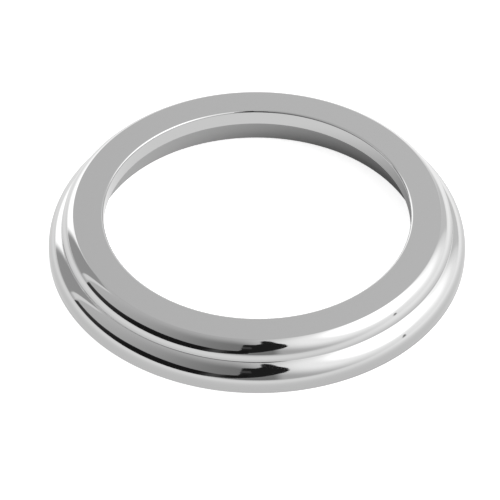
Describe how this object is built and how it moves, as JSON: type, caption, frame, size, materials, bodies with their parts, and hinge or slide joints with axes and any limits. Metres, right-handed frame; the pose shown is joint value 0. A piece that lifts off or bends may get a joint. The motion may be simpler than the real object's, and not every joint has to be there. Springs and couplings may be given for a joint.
{
  "type": "spout flange",
  "caption": "Round two-tier trim flange with a flat rim, an open bore for a tap spout and a recessed underside, turned in one piece and chrome plated.",
  "frame": {"origin": "centre of the foot's lower face, on the bore's axis", "axes": "+Z along the bore's axis, from the surface that the foot stands on up to the flat rim; X and Y lie in the foot's plane and the ring is the same all round"},
  "size_m": [0.063, 0.063, 0.0073],
  "materials": {
    "chrome_plate": "mirror-polished chrome plate on brass"
  },
  "bodies": {
    "root": {"spout_flange": "chrome_plate"}
  },
  "joints": []
}
